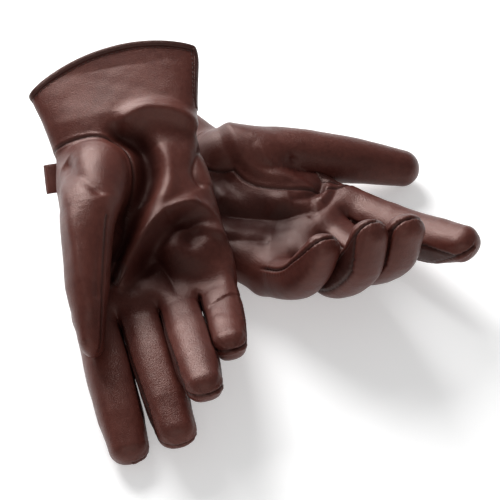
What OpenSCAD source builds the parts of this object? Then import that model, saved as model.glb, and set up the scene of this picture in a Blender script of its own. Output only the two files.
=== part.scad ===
// Pair of leather dress gloves: the left glove lies palm up, the right glove leans across its wrist.
// Glove frame: +X from the cuff to the fingertips, +Y to the thumb, +Z out of the palm.
// The right glove is the mirror image in Y, turned and carried to its place over the left one.

/* [Hand] */
// Half width of the flared cuff mouth
cuff_half_width = 51;          // [44:0.5:58]
// Half width at the narrow wrist
wrist_half_width = 41;         // [35:0.5:46]
// Half width across the knuckles
knuckle_half_width = 47;       // [42:0.5:52]
// Half thickness of the cuff mouth
cuff_half_thickness = 8;       // [6:0.5:14]
// How far the middle of the cuff edge stands out beyond its thumb side corner
cuff_bow = 14;                 // [6:1:18]
// Half thickness of the palm, also the height of the left glove's middle above its rest face
palm_half_thickness = 17.5;    // [14:0.5:22]
// Distance from the cuff edge to the wrist
wrist_distance = 48;           // [40:1:60]
// Length of the slit in the ulnar side of the cuff
vent_length = 33;              // [20:1:45]

/* [Leather] */
// Thickness of the leather
leather = 1;                   // [0.6:0.1:1.6]
// Thickness of the fabric lining
lining = 0.8;                  // [0.5:0.1:1.2]
// Space between the leather and the lining
lining_gap = 0.4;              // [0.2:0.1:1]
// Space left along a seam
seam_gap = 0.2;                // [0.1:0.05:0.4]

/* [Fingers] */
// Distance between neighbouring fingers at the knuckles
finger_pitch = 23.4;           // [21:0.2:26]
// Distance from a finger's hinge to the start of its leather
finger_start = 5;              // [4:0.5:8]
// Half angle of the strip between the front and the back of a finger
fourchette_half_angle = 34;    // [24:1:42]

/* [Thumb] */
// Distance along the thumb from its root in the palm to its hinge
thumb_hinge = 45;              // [40:1:52]
// Distance along the thumb at which the heel of the thumb starts
heel_start = 16;               // [10:1:24]

/* [Strap] */
// Width of the strap across the back of the wrist
strap_width = 18;              // [12:1:24]
// Thickness of the folded strap
strap_thickness = 2;           // [1.2:0.2:3]
// Free length of the strap's end beyond the side of the wrist
strap_tab = 9;                 // [4:1:16]

/* [Pose of the right glove] */
// Turn of the right glove about the vertical
right_yaw = -42;               // [-60:1:-20]
// Slope of the right glove down to its fingertips
right_pitch = 21;              // [10:1:26]
// Roll of the right glove about its own length
right_roll = 4.5;              // [0:0.5:16]
// Height of the middle of the right glove's cuff mouth
right_height = 75.5;           // [70:0.5:95]

/* [Hidden] */
rest_depth = 0.99 * palm_half_thickness;
left_at = [-105, 0, rest_depth];
right_at = [-102, -2.5, right_height];
hand_columns = 30;
hand_rows = 12;
back_bow = 6;
body_rows = 6;
tip_angles = [24, 46, 66, 84];
binding_width = 3;
binding_depth = 3.2;
strap_place = wrist_distance + 8;
knuckle_distance = 146;
squareness = 2.4;
slope_step = 2;
bend_ramp = 9;
leather_brown = [0.28, 0.12, 0.10];
seam_brown = [0.20, 0.08, 0.07];
lining_black = [0.10, 0.09, 0.09];

// Fingers, from the thumb side: root, joint lengths, half widths, half depths
index_shape = [[149, 1.5 * finger_pitch, 0], [41, 25, 18], [10.7, 10.8, 10.6, 9.4], [12, 12, 11.6, 9.8]];
middle_shape = [[151, 0.5 * finger_pitch, 0], [40, 25, 19], [10.4, 10.6, 10.4, 9.2], [12, 12, 11.6, 9.6]];
ring_shape = [[149, -0.5 * finger_pitch, 0], [36, 24, 18], [10.0, 10.2, 10.0, 8.9], [11.6, 11.6, 11.2, 9.4]];
little_shape = [[141, -1.48 * finger_pitch, 0], [27, 17, 14], [9.4, 9.4, 9.2, 8.2], [10.6, 10.6, 10, 8.8]];
thumb_shape = [[69, 20, 9], [40, 38, 30], [18, 14.5, 11.5, 8.5], [18, 14, 11, 8]];

// How each finger is turned: [yaw, roll, slopes added at the root and at the two joints]
left_turns = [[38, -5, [3, -15, -4]], [-2, -6, [10, 14, 7]], [-26, 17, [15, 40, 34]], [-26, 17, [22, 42, 34]],
    [-28, 22, [37, 32, 18]]];
right_turns = [[7, 16, [33, -28, -9]], [-3, -4, [19, -8, -2]], [-5, -4, [25, -7, 0]], [-3, -1, [37, -2, 3]],
    [0, 1, [27, 13, 8]]];

// Turning and placing
function spin_x(a, p) = [p.x, p.y * cos(a) - p.z * sin(a), p.y * sin(a) + p.z * cos(a)];
function spin_y(a, p) = [p.x * cos(a) + p.z * sin(a), p.y, -p.x * sin(a) + p.z * cos(a)];
function spin_z(a, p) = [p.x * cos(a) - p.y * sin(a), p.x * sin(a) + p.y * cos(a), p.z];
function placed(left, p) = left ? left_at + p
    : right_at + spin_z(right_yaw, spin_y(right_pitch, spin_x(right_roll, [p.x, -p.y, p.z])));

// Hand: a flattened tube, wide at the cuff, narrow at the wrist
function hand_width(x) = lookup(x, [[0, cuff_half_width], [wrist_distance / 2, cuff_half_width - 5.5],
    [wrist_distance, wrist_half_width], [72, 42.5], [96, 44.5], [120, knuckle_half_width - 0.5],
    [150, knuckle_half_width]]);
function hand_thickness(x) = lookup(x, [[0, cuff_half_thickness], [30, 13], [54, 13.6], [72, 14.6],
    [90, palm_half_thickness], [120, palm_half_thickness], [150, palm_half_thickness - 2.5]]);
function rounded(c) = sign(c) * pow(abs(c), 2 / squareness);
function hand_point(x, a, inset) = [x, (hand_width(x) - inset) * rounded(cos(a)),
    max(inset - rest_depth, (hand_thickness(x) - inset) * rounded(sin(a)))];
function cuff_edge(a) = let (y = cuff_half_width * rounded(cos(a)), k = (y + 12) / 63)
    cuff_bow * (k * k * 1.35 - 1) - back_bow * max(0, -sin(a));
function hand_end(a) = knuckle_distance + lookup(knuckle_half_width * rounded(cos(a)),
    [[-36, -9], [-12, -1], [12, 0], [36, -1.5]]);
function slit_half_angle(x) = lookup(x, [[0, 7], [vent_length - 5, 4.5], [vent_length, 0.8], [160, 0.8]]);
function hand_angle(x, t, gap) = -180 + gap + t * (360 - 2 * gap);
// The lining keeps clear of the binding along the slit
function lining_half_angle(x) = lookup(x, [[0, 28], [vent_length + 3, 24], [vent_length + 14, 1], [160, 1]]);

// Finger: a tapering tube that bends at its root and at two joints
function turned(turn, p) = spin_z(turn[0], spin_x(-turn[1], p));
function ramp(s, at) = min(1, max(0, (s - at + bend_ramp) / (2 * bend_ramp)));
function slope(shape, turn, s) = turn[2][0] + turn[2][1] * ramp(s, shape[1][0])
    + turn[2][2] * ramp(s, shape[1][0] + shape[1][1]);
function reach(shape, turn, s, k = 0) = k * slope_step >= s ? [0, 0, 0]
    : let (d = min(slope_step, s - k * slope_step), a = slope(shape, turn, k * slope_step + d / 2))
      d * [cos(a), 0, sin(a)] + reach(shape, turn, s, k + 1);
function finger_length(shape) = shape[1][0] + shape[1][1] + shape[1][2];
function profile(shape, radii, s) = lookup(s, [[0, radii[0]], [shape[1][0], radii[1]],
    [shape[1][0] + shape[1][1], radii[2]], [finger_length(shape), radii[3]]]);
function finger_middle(shape, turn, s) = shape[0] + turned(turn, reach(shape, turn, s));
function finger_point(shape, turn, s, tip, a, inset) = let (
        along = s + (profile(shape, shape[3], s) - inset) * sin(tip),
        wide = (profile(shape, shape[2], s) - inset) * cos(tip) * cos(a),
        deep = (profile(shape, shape[3], s) - inset) * cos(tip) * sin(a),
        b = slope(shape, turn, s))
    shape[0] + turned(turn, reach(shape, turn, along) + [-deep * sin(b), wide, deep * cos(b)]);

// Rows along a finger: plain rows up to the last joint length, then rows that round the tip
function finger_rows(shape, from) = concat(
    [for (i = [0:body_rows]) [from + (finger_length(shape) - from) * i / body_rows, 0]],
    [for (a = tip_angles) [finger_length(shape), a]]);
function taper(shape, row) = row[1] > 20 ? 0.04
    : let (end = finger_length(shape))
      lookup(row[0] + row[1] * 0.1, [[0, 1], [end - 22, 1], [end + 1, 0.25]]);

// A curved sheet: two grids of points joined by side walls, with optional missing cells
module sheet_between(outer, inner, left, keep = function (i, j) true) {
    rows = len(outer) - 1;
    columns = len(outer[0]) - 1;
    count = (rows + 1) * (columns + 1);
    points = [for (grid = [outer, inner]) for (row = grid) for (p = row) p];
    at = function (i, j) i * (columns + 1) + j;
    kept = function (i, j) i >= 0 && j >= 0 && i < rows && j < columns && keep(i, j);
    wall = function (p, q) [[q, p, p + count], [q, p + count, q + count]];
    faces = [for (i = [0:rows - 1]) for (j = [0:columns - 1]) if (kept(i, j))
        let (a = at(i, j), b = at(i + 1, j), c = at(i + 1, j + 1), d = at(i, j + 1))
        each concat(
            [[a, b, c], [a, c, d], [a + count, c + count, b + count], [a + count, d + count, c + count]],
            kept(i, j - 1) ? [] : wall(a, b),
            kept(i + 1, j) ? [] : wall(b, c),
            kept(i, j + 1) ? [] : wall(c, d),
            kept(i - 1, j) ? [] : wall(d, a))];
    polyhedron(points = [for (p = points) placed(left, p)],
        faces = left ? faces : [for (f = faces) [f[2], f[1], f[0]]], convexity = 10);
}

// Part of a finger between two angles, angle limits given for each row
module finger_sheet(shape, turn, left, from, columns, low, high, inset, thick) {
    rows = finger_rows(shape, from);
    grid = function (depth) [for (r = rows) let (a0 = low(r), a1 = high(r))
        [for (j = [0:columns]) finger_point(shape, turn, r[0], r[1], a0 + (a1 - a0) * j / columns, depth)]];
    sheet_between(grid(inset), grid(inset + thick), left);
}

function fork(shape, row) = fourchette_half_angle * taper(shape, row);
function seam_angle(shape, row) = seam_gap / 2 / profile(shape, shape[2], row[0]) * 180 / PI / cos(row[1]);

module finger_front(shape, turn, left, outer_side = false) {
    low = function (r) fork(shape, r) + seam_angle(shape, r);
    high = function (r) 180 - (outer_side ? 28 * taper(shape, r) : fork(shape, r)) - seam_angle(shape, r);
    color(leather_brown) finger_sheet(shape, turn, left, finger_start, 6, low, high, 0, leather);
}

module finger_back(shape, turn, left, outer_side = false) {
    low = function (r) 180 + (outer_side ? -28 * taper(shape, r) : fork(shape, r)) + seam_angle(shape, r);
    high = function (r) 360 - fork(shape, r) - seam_angle(shape, r);
    color(leather_brown) finger_sheet(shape, turn, left, finger_start, 6, low, high, 0, leather);
}

module finger_wrap(shape, turn, left) {
    limit = function (r) 180 - fork(shape, r) - seam_angle(shape, r);
    color(leather_brown) finger_sheet(shape, turn, left, finger_start, 12,
        function (r) -limit(r), limit, 0, leather);
}

module finger_fourchette(shape, turn, left, middle_angle) {
    half = function (r) fork(shape, r) - seam_angle(shape, r);
    color(seam_brown) fourchette_sheet(shape, turn, left, middle_angle, half);
}

// The strip stops where its two seams meet below the fingertip
module fourchette_sheet(shape, turn, left, middle_angle, half) {
    rows = [for (r = finger_rows(shape, finger_start)) if (r[1] == 0) r];
    grid = function (depth) [for (r = rows) let (a = half(r))
        [for (j = [0:2]) finger_point(shape, turn, r[0], r[1], middle_angle - a + a * j, depth)]];
    sheet_between(grid(0), grid(leather), left);
}

module finger_lining(shape, turn, left, from) {
    deep = leather + lining_gap;
    color(lining_black) finger_sheet(shape, turn, left, from, 10,
        function (r) -179.6, function (r) 179.6, deep, lining);
}

// Room for the heel of the thumb in the side of the hand
function near_thumb(turn, p, room) = min([for (s = [0:4:60])
    norm(p - finger_middle(thumb_shape, turn, s)) - profile(thumb_shape, thumb_shape[2], s)]) < room;

module hand_tube(turn, left, inset, thick, columns, rows, short, room, gap) {
    x_at = function (i, a) let (from = cuff_edge(a) + short) from + (hand_end(a) - short - from) * i / rows;
    angle = function (x, j) hand_angle(x, j / columns, gap(x));
    spot = function (i, j, depth) let (x = x_at(i, angle(x_at(i, 180), j)))
        hand_point(x, angle(x, j), depth);
    grid = function (depth) [for (i = [0:rows]) [for (j = [0:columns]) spot(i, j, depth)]];
    clear = function (i, j) len([for (c = [[0, 0], [0, 1], [1, 0], [1, 1], [0.5, 0.5]])
        if (near_thumb(turn, spot(i + c[0], j + c[1], inset), room)) 1]) == 0;
    sheet_between(grid(inset), grid(inset + thick), left, clear);
}

module trank(turn, left) {
    color(leather_brown) hand_tube(turn, left, 0, leather, hand_columns, hand_rows, 0, 0.6,
        function (x) slit_half_angle(x));
}

module hand_lining(turn, left) {
    deep = leather + lining_gap;
    color(lining_black) hand_tube(turn, left, deep, lining, hand_columns, hand_rows, 5, 0.6,
        function (x) lining_half_angle(x));
}

// One strip folded over the edge of the cuff and down both sides of the slit
function unit(v) = v / norm(v);
function edge_frame(p, out, n) = let (u = unit(out)) [p, out, unit(n - (n * u) * u)];
function row_x(row) = cuff_edge(180) + (hand_end(180) - cuff_edge(180)) * row / hand_rows;
function rim_angle(column) = hand_angle(0, column / hand_columns, slit_half_angle(0));
function rim_frame(a) = let (x = cuff_edge(a), p = hand_point(x, a, leather / 2))
    edge_frame(p, unit(p - hand_point(x + 6, a, leather / 2)), hand_point(x, a, -1) - hand_point(x, a, 0));
function slit_vertex(row, side, column, inset) = let (x = row_x(row))
    hand_point(x, -side * hand_angle(x, column / hand_columns, slit_half_angle(x)), inset);
function slit_point(row, side, column, inset) = let (i = floor(row), k = row - i)
    slit_vertex(i, side, column, inset) * (1 - k) + slit_vertex(i + 1, side, column, inset) * k;
function slit_frame(row, side) = let (p = slit_point(row, side, 0, leather / 2))
    edge_frame(p, unit(p - slit_point(row, side, 1, leather / 2)),
        slit_point(row, side, 0, -1) - slit_point(row, side, 0, 0));
function corner_frame(side) = let (r = rim_frame(side * rim_angle(hand_columns)), d = slit_frame(0, side))
    edge_frame(r[0], r[1] + d[1], r[2] + d[2]);

module cuff_binding(left) {
    slit_rows = [3, 2.7, 2.3, 2, 1.5, 1, 0.5];
    back = [for (row = slit_rows) slit_frame(row, -1)];
    front = [for (k = [len(slit_rows) - 1:-1:0]) slit_frame(slit_rows[k], 1)];
    rim = [for (k = [1:hand_columns - 1]) rim_frame(rim_angle(k))];
    path = concat(back, [corner_frame(-1)], rim, [corner_frame(1)], front);
    depth = binding_depth - leather / 2;
    slot = leather / 2 + 0.3;
    half = binding_width / 2;
    outline = [[-half, -depth], [-half, 0.9], [half, 0.9], [half, -depth], [slot, -depth], [slot, 0.1],
        [-slot, 0.1], [-slot, -depth]];
    ring = [for (f = path) [for (q = outline) placed(left, f[0] + f[2] * q[0] + f[1] * q[1])]];
    count = len(outline);
    last = len(path) - 1;
    sides = [for (i = [0:last - 1]) for (j = [0:count - 1])
        let (a = i * count + j, b = i * count + (j + 1) % count)
        each [[a, b, b + count], [a, b + count, a + count]]];
    caps = [[0, 7, 6], [0, 6, 1], [1, 6, 5], [1, 5, 2], [2, 5, 4], [2, 4, 3]];
    faces = concat(sides, caps, [for (c = caps) [for (k = [2:-1:0]) c[k] + last * count]]);
    color(seam_brown) polyhedron([for (r = ring) each r],
        left ? faces : [for (f = faces) [f[2], f[1], f[0]]], convexity = 10);
}

// Strap across the back of the wrist, its squared end standing free of the thumb side
module wrist_strap(left) {
    lift = 0.4;
    across = [for (k = [0:12]) 205 + k * 125 / 12];
    line = function (x, depth) concat([for (a = across) hand_point(x, a, -lift - depth)],
        [for (k = [1:3]) hand_point(x, 330, -lift - depth) + [0, strap_tab * k / 3 + 2, 0.6 * k]]);
    rows = [strap_place - strap_width / 2, strap_place, strap_place + strap_width / 2];
    color(leather_brown) sheet_between([for (x = rows) line(x, strap_thickness)],
        [for (x = rows) line(x, 0)], left);
}

// Heel of the thumb, from the palm to the thumb's hinge
module thumb_heel(turn, left) {
    rows = [for (i = [0:5]) heel_start + (thumb_hinge - 3 - heel_start) * i / 5];
    grid = function (depth) [for (s = rows) [for (j = [0:12])
        finger_point(thumb_shape, turn, s, 0, -89.6 + j * 359.2 / 12, depth)]];
    color(leather_brown) sheet_between(grid(0), grid(leather), left);
}

module thumb_shell(turn, left) {
    color(leather_brown) finger_sheet(thumb_shape, turn, left, thumb_hinge + 4, 12,
        function (r) -178.8, function (r) 178.8, 0, leather);
}

// Small diamond of leather that fills the fork between thumb and palm
module thumb_quirk(left) {
    low_angle = left ? 26 : 62;
    span = [0.04, 0.7, 1, 0.7, 0.04];
    grid = function (depth) [for (i = [0:4]) [for (j = [0:2])
        hand_point(120 + i * 4, low_angle + 8 + (j - 1) * 8 * span[i], -depth)]];
    color(seam_brown) sheet_between(grid(0.9), grid(0.3), left);
}

// Each piece of each glove
function turns(left) = left ? left_turns : right_turns;

module hand_piece(name, left) {
    turn = turns(left)[0];
    if (name == "trank") trank(turn, left);
    if (name == "lining") hand_lining(turn, left);
    if (name == "binding") cuff_binding(left);
    if (name == "strap") wrist_strap(left);
    if (name == "quirk") thumb_quirk(left);
    if (name == "heel") thumb_heel(turn, left);
    if (name == "thumb") thumb_shell(turn, left);
    if (name == "thumb_lining") finger_lining(thumb_shape, turn, left, thumb_hinge + 5);
}

module finger_piece(finger, name, left) {
    shape = [thumb_shape, index_shape, middle_shape, ring_shape, little_shape][finger];
    turn = turns(left)[finger];
    if (name == "front") finger_front(shape, turn, left, finger == 4);
    if (name == "back") finger_back(shape, turn, left, finger == 4);
    if (name == "wrap") finger_wrap(shape, turn, left);
    if (name == "inner") finger_fourchette(shape, turn, left, 180);
    if (name == "outer") finger_fourchette(shape, turn, left, 0);
    if (name == "lining") finger_lining(shape, turn, left, finger_start + 1);
}

module left_hand_leather() { hand_piece("trank", true); }
module left_hand_lining() { hand_piece("lining", true); }
module left_cuff_binding() { hand_piece("binding", true); }
module left_wrist_strap() { hand_piece("strap", true); }
module left_thumb_quirk() { hand_piece("quirk", true); }
module left_thumb_heel() { hand_piece("heel", true); }
module left_thumb_leather() { hand_piece("thumb", true); }
module left_thumb_lining() { hand_piece("thumb_lining", true); }
module left_index_leather() { finger_piece(1, "wrap", true); }
module left_index_fourchette() { finger_piece(1, "inner", true); }
module left_index_lining() { finger_piece(1, "lining", true); }
module left_middle_front() { finger_piece(2, "front", true); }
module left_middle_back() { finger_piece(2, "back", true); }
module left_middle_thumb_side_fourchette() { finger_piece(2, "outer", true); }
module left_middle_far_side_fourchette() { finger_piece(2, "inner", true); }
module left_middle_lining() { finger_piece(2, "lining", true); }
module left_ring_front() { finger_piece(3, "front", true); }
module left_ring_back() { finger_piece(3, "back", true); }
module left_ring_thumb_side_fourchette() { finger_piece(3, "outer", true); }
module left_ring_far_side_fourchette() { finger_piece(3, "inner", true); }
module left_ring_lining() { finger_piece(3, "lining", true); }
module left_little_front() { finger_piece(4, "front", true); }
module left_little_back() { finger_piece(4, "back", true); }
module left_little_fourchette() { finger_piece(4, "outer", true); }
module left_little_lining() { finger_piece(4, "lining", true); }
module right_hand_leather() { hand_piece("trank", false); }
module right_hand_lining() { hand_piece("lining", false); }
module right_cuff_binding() { hand_piece("binding", false); }
module right_wrist_strap() { hand_piece("strap", false); }
module right_thumb_quirk() { hand_piece("quirk", false); }
module right_thumb_heel() { hand_piece("heel", false); }
module right_thumb_leather() { hand_piece("thumb", false); }
module right_thumb_lining() { hand_piece("thumb_lining", false); }
module right_index_leather() { finger_piece(1, "wrap", false); }
module right_index_fourchette() { finger_piece(1, "inner", false); }
module right_index_lining() { finger_piece(1, "lining", false); }
module right_middle_front() { finger_piece(2, "front", false); }
module right_middle_back() { finger_piece(2, "back", false); }
module right_middle_thumb_side_fourchette() { finger_piece(2, "outer", false); }
module right_middle_far_side_fourchette() { finger_piece(2, "inner", false); }
module right_middle_lining() { finger_piece(2, "lining", false); }
module right_ring_front() { finger_piece(3, "front", false); }
module right_ring_back() { finger_piece(3, "back", false); }
module right_ring_thumb_side_fourchette() { finger_piece(3, "outer", false); }
module right_ring_far_side_fourchette() { finger_piece(3, "inner", false); }
module right_ring_lining() { finger_piece(3, "lining", false); }
module right_little_front() { finger_piece(4, "front", false); }
module right_little_back() { finger_piece(4, "back", false); }
module right_little_fourchette() { finger_piece(4, "outer", false); }
module right_little_lining() { finger_piece(4, "lining", false); }

left_hand_leather();
left_hand_lining();
left_cuff_binding();
left_wrist_strap();
left_thumb_quirk();
left_thumb_heel();
left_thumb_leather();
left_thumb_lining();
left_index_leather();
left_index_fourchette();
left_index_lining();
left_middle_front();
left_middle_back();
left_middle_thumb_side_fourchette();
left_middle_far_side_fourchette();
left_middle_lining();
left_ring_front();
left_ring_back();
left_ring_thumb_side_fourchette();
left_ring_far_side_fourchette();
left_ring_lining();
left_little_front();
left_little_back();
left_little_fourchette();
left_little_lining();
right_hand_leather();
right_hand_lining();
right_cuff_binding();
right_wrist_strap();
right_thumb_quirk();
right_thumb_heel();
right_thumb_leather();
right_thumb_lining();
right_index_leather();
right_index_fourchette();
right_index_lining();
right_middle_front();
right_middle_back();
right_middle_thumb_side_fourchette();
right_middle_far_side_fourchette();
right_middle_lining();
right_ring_front();
right_ring_back();
right_ring_thumb_side_fourchette();
right_ring_far_side_fourchette();
right_ring_lining();
right_little_front();
right_little_back();
right_little_fourchette();
right_little_lining();
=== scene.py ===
"""Looks of the pair of leather gloves: left glove palm up, right glove leaning across its wrist.

Glove frame, in millimetres: +X from the cuff to the fingertips, +Y to the thumb, +Z out of the palm.
The right glove is the mirror image in Y, turned and carried to its place. Blender objects are in metres.
"""
import math

import bpy
import numpy as np
import openvdb
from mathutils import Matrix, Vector


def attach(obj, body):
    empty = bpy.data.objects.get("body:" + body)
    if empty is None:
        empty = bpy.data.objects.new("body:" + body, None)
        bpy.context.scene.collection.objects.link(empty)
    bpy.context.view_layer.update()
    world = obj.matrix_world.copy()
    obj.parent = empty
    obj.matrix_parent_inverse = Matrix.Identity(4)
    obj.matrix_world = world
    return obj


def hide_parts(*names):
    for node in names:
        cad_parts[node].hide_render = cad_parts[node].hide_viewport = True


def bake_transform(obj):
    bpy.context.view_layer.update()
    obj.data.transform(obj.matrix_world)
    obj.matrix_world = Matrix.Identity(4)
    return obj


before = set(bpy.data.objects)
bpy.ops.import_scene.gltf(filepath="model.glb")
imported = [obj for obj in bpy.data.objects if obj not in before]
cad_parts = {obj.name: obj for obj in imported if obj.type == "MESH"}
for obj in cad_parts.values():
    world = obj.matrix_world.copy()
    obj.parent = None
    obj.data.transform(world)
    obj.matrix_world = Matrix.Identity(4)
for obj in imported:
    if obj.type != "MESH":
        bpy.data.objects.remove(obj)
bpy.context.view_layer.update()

MM = 0.001
VOXEL = 1.0


def spin(axis, degrees):
    c, s = math.cos(math.radians(degrees)), math.sin(math.radians(degrees))
    i, j = {"x": (1, 2), "y": (2, 0), "z": (0, 1)}[axis]
    m = np.eye(3)
    m[i, i], m[j, j], m[i, j], m[j, i] = c, c, -s, s
    return m


def unit(v):
    return v / np.maximum(np.linalg.norm(v, axis=-1, keepdims=True), 1e-9)


# ---------------------------------------------------------------- camera
CAMERA_AZIMUTH, CAMERA_ELEVATION, CAMERA_DISTANCE = 36.0, 48.0, 1.1
CAMERA_TARGET = Vector((0.0212, -0.0347, 0.030))
camera_data = bpy.data.cameras.new("camera")
camera_data.sensor_width = 36.0
camera_data.lens = 138.6
camera = bpy.data.objects.new("camera", camera_data)
bpy.context.scene.collection.objects.link(camera)
az, el = math.radians(CAMERA_AZIMUTH), math.radians(CAMERA_ELEVATION)
toward = Vector((math.sin(az) * math.cos(el), -math.cos(az) * math.cos(el), math.sin(el)))
camera.location = CAMERA_TARGET + toward * CAMERA_DISTANCE
camera.rotation_euler = toward.to_track_quat("Z", "Y").to_euler()
bpy.context.scene.camera = camera

# ---------------------------------------------------------------- sizes, as in the CAD source, mm
REST_DEPTH = 0.99 * 17.5
LEFT_AT = np.array([-105, 0, REST_DEPTH])
RIGHT_AT = np.array([-102, -2.5, 75.5])
RIGHT_TURN = spin("z", -42) @ spin("y", 21) @ spin("x", 4.5)
PITCH = 23.4
HAND_X = [0, 24, 48, 72, 96, 120, 150]
HAND_WIDTH = [51, 45.5, 41, 42.5, 44.5, 46.5, 47]
THICK_X = [0, 30, 54, 72, 90, 120, 150]
THICKNESS = [8, 13, 13.6, 14.6, 17.5, 17.5, 15]
SQUARENESS = 2.4
CUFF_BOW, BACK_BOW = 14.0, 6.0
VENT = 33.0
SLIT_X, SLIT_ANGLE = [0, 28, 33, 160], [7, 4.5, 0.8, 0.8]
NAMES = ["thumb", "index", "middle", "ring", "little"]
# root, joint lengths, half widths, half depths
SHAPES = {
    "thumb": ((69, 20, 9), (40, 38, 30), (19, 16.5, 14.2, 11.6), (18, 15.5, 13.2, 10.8)),
    "index": ((149, 1.5 * PITCH, 0), (41, 25, 18), (12.4, 13.4, 12.8, 10.8), (12.6, 12.4, 11.6, 9.2)),
    "middle": ((151, 0.5 * PITCH, 0), (40, 25, 19), (12.4, 13.4, 12.8, 10.6), (12.6, 12.4, 11.6, 9.2)),
    "ring": ((149, -0.5 * PITCH, 0), (36, 24, 18), (12.2, 13, 12.2, 10.2), (12.4, 12.2, 11.4, 9)),
    "little": ((141, -1.48 * PITCH, 0), (27, 17, 14), (11.2, 11.8, 11, 9.4), (11.6, 11.6, 11, 8.8)),
}
RIGHT_THUMB = ((69, 20, 9), (40, 38, 30), (19, 15.5, 12, 6.8), (19, 15, 13, 10.5))
TURNS = {
    "left": {
        "thumb": (38, -5, (3, -15, -4)), "index": (-2, -6, (10, 14, 7)), "middle": (-26, 17, (15, 40, 34)),
        "ring": (-26, 17, (22, 42, 34)), "little": (-28, 22, (37, 32, 18))},
    "right": {
        "thumb": (7, 16, (33, -28, -9)), "index": (-3, -4, (19, -8, -2)), "middle": (-5, -4, (25, -7, 0)),
        "ring": (-3, -1, (37, -2, 3)), "little": (0, 1, (27, 13, 8))},
}
BEND_RAMP = 9.0
STEP = 3.0


def placed(side, p):
    """Glove frame in mm to the row frame in metres."""
    p = np.asarray(p, float)
    if side == "left":
        return (LEFT_AT + p) * MM
    return (RIGHT_AT + (p * [1, -1, 1]) @ RIGHT_TURN.T) * MM


def placed_direction(side, v):
    v = np.asarray(v, float)
    return v if side == "left" else (v * [1, -1, 1]) @ RIGHT_TURN.T


# ---------------------------------------------------------------- distance fields, glove frame
def rounded(c):
    return np.sign(c) * np.abs(c) ** (2 / SQUARENESS)


def hand_surface(x, angle, inset=0.0):
    """Point on the hand tube; angle in degrees, 0 at the thumb side, 90 on the palm."""
    a = np.radians(angle)
    w = np.interp(x, HAND_X, HAND_WIDTH) - inset
    t = np.interp(x, THICK_X, THICKNESS) - inset
    return np.stack([x + 0 * a, w * rounded(np.cos(a)), t * rounded(np.sin(a))], -1)


def cuff_edge(y, up):
    """Where the cuff ends: y across the glove, up from -1 at the back to 1 at the palm."""
    k = (np.clip(y, -HAND_WIDTH[0], HAND_WIDTH[0]) + 12) / 63
    return CUFF_BOW * (1.35 * k * k - 1) - BACK_BOW * np.clip(-up, 0, 1)


def cuff_edge_at(angle):
    a = np.radians(angle)
    return cuff_edge(HAND_WIDTH[0] * rounded(np.cos(a)), np.sin(a))


def beyond_cuff(p):
    """Distance along the glove from the cuff edge."""
    w = np.interp(p[:, 0], HAND_X, HAND_WIDTH)
    t = np.interp(p[:, 0], THICK_X, THICKNESS)
    up = np.sign(p[:, 2]) * np.clip(np.abs(p[:, 2]) / t, 0, 1) ** (SQUARENESS / 2)
    return p[:, 0] - cuff_edge(p[:, 1] * HAND_WIDTH[0] / w, up)


def smooth_step(x, a, b):
    t = np.clip((x - a) / (b - a), 0, 1)
    return t * t * (3 - 2 * t)


def smooth_min(a, b, k):
    h = np.clip(0.5 + 0.5 * (b - a) / k, 0, 1)
    return b + (a - b) * h - k * h * (1 - h)


def hand_field(p, end=152.0):
    x, y, z = p[:, 0], p[:, 1], p[:, 2]
    w = np.interp(x, HAND_X, HAND_WIDTH) + 0.3
    t = np.interp(x, THICK_X, THICKNESS)
    t = np.where(z > 0, t, t + 0.2)
    ay, at = np.abs(y) / w, np.abs(z) / t
    e = np.maximum((ay ** SQUARENESS + at ** SQUARENESS) ** (1 / SQUARENESS), 1e-4)
    gy = (ay / e) ** (SQUARENESS - 1) / w
    gz = (at / e) ** (SQUARENESS - 1) / t
    d = (e - 1) / np.maximum(np.hypot(gy, gz), 1e-3)
    edge = end - 4 * np.clip(np.abs(y) / 47, 0, 1.3) ** 2 - 6 * smooth_step(-y, 20, 44)
    return soft_max(d, x - edge, 8.0)


def soft_max(a, b, k):
    return -smooth_min(-a, -b, k)


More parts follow.
